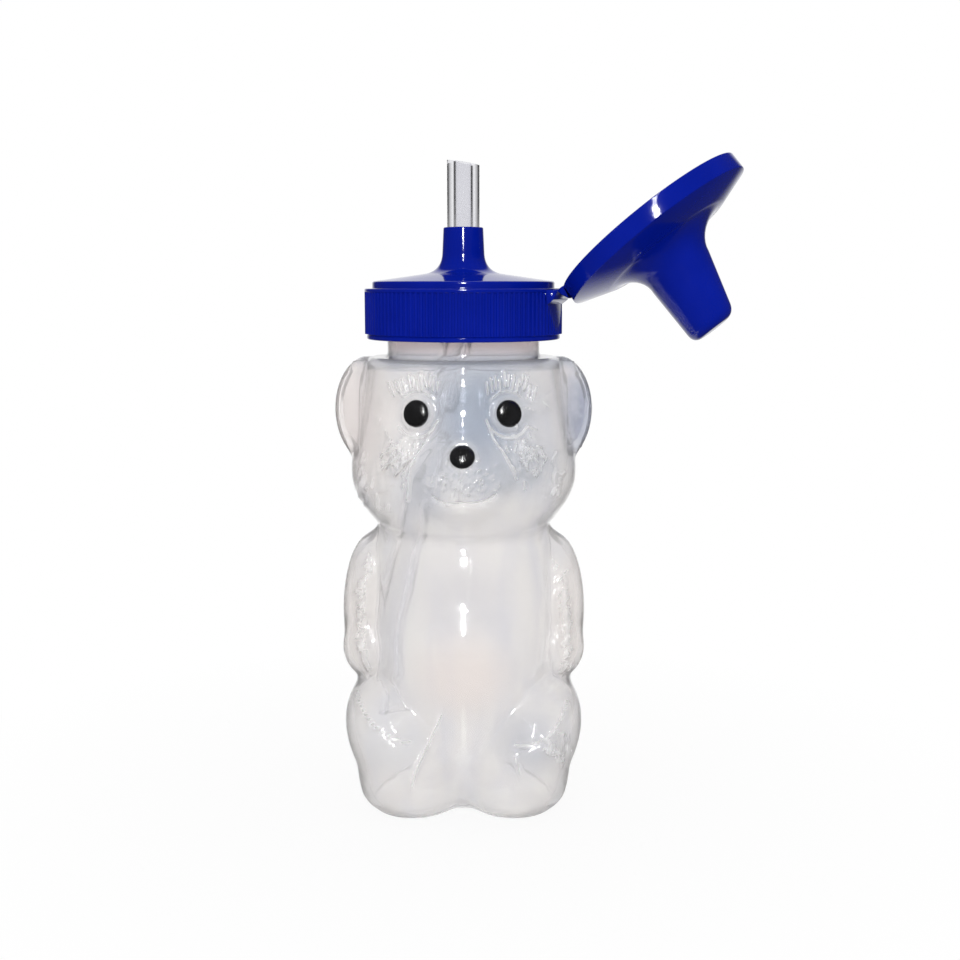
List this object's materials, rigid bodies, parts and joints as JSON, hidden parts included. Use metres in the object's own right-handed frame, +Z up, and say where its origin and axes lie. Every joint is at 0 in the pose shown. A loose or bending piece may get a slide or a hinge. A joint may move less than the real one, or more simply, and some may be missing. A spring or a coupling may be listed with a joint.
{
  "type": "straw cup",
  "caption": "Translucent bear-shaped squeeze cup with a ribbed screw lid, a drinking straw through its spout and a flip cap on a living hinge.",
  "frame": {"origin": "middle of the flat base, under the bottle's axis", "axes": "+Z up along the bottle's axis, -Y the way the bear faces, +X to the bear's left, where the cap swings open"},
  "size_m": [0.0912, 0.0607, 0.1481],
  "materials": {
    "milky_plastic": "soft translucent blow-moulded plastic, glossy outside",
    "black_paint": "glossy black",
    "blue_plastic": "opaque glossy cobalt blue",
    "clear_plastic": "clear flexible tube",
    "white_foam": "matt liner ring"
  },
  "bodies": {
    "bottle": {"bear_bottle": "milky_plastic", "eye_right": "black_paint", "eye_left": "black_paint", "nose": "black_paint"},
    "seal": {"lid_seal": "white_foam"},
    "lid": {"lid": "blue_plastic", "hinge_strap_lid_half": "blue_plastic"},
    "cap": {"flip_cap": "blue_plastic", "hinge_strap_cap_half": "blue_plastic"},
    "straw": {"straw": "clear_plastic"}
  },
  "joints": [
    {"name": "lid_lift", "type": "slide", "parent": "bottle", "child": "seal", "axis": [0, 0, 1], "range_m": [0, 0.0054]},
    {"name": "lid_turn", "type": "hinge", "parent": "seal", "child": "lid", "pos_m": [0, 0, 0.1192], "axis": [0, 0, 1], "range_deg": [0, 450]},
    {"name": "cap_hinge", "type": "hinge", "parent": "lid", "child": "cap", "pos_m": [0.0226, -0.00713, 0.119], "axis": [0.3007, 0.9537, 0], "range_deg": [-141, 29]},
    {"name": "straw_slide", "type": "slide", "parent": "seal", "child": "straw", "axis": [0, 0, 1], "range_m": [-0.015, 0.0031]}
  ],
  "couplings": [
    {"joint": "lid_lift", "follows": "lid_turn", "m_per_rad": 0.00067322},
    {"joint": "straw_slide", "follows": "cap_hinge", "m_per_rad": 0.006095}
  ]
}
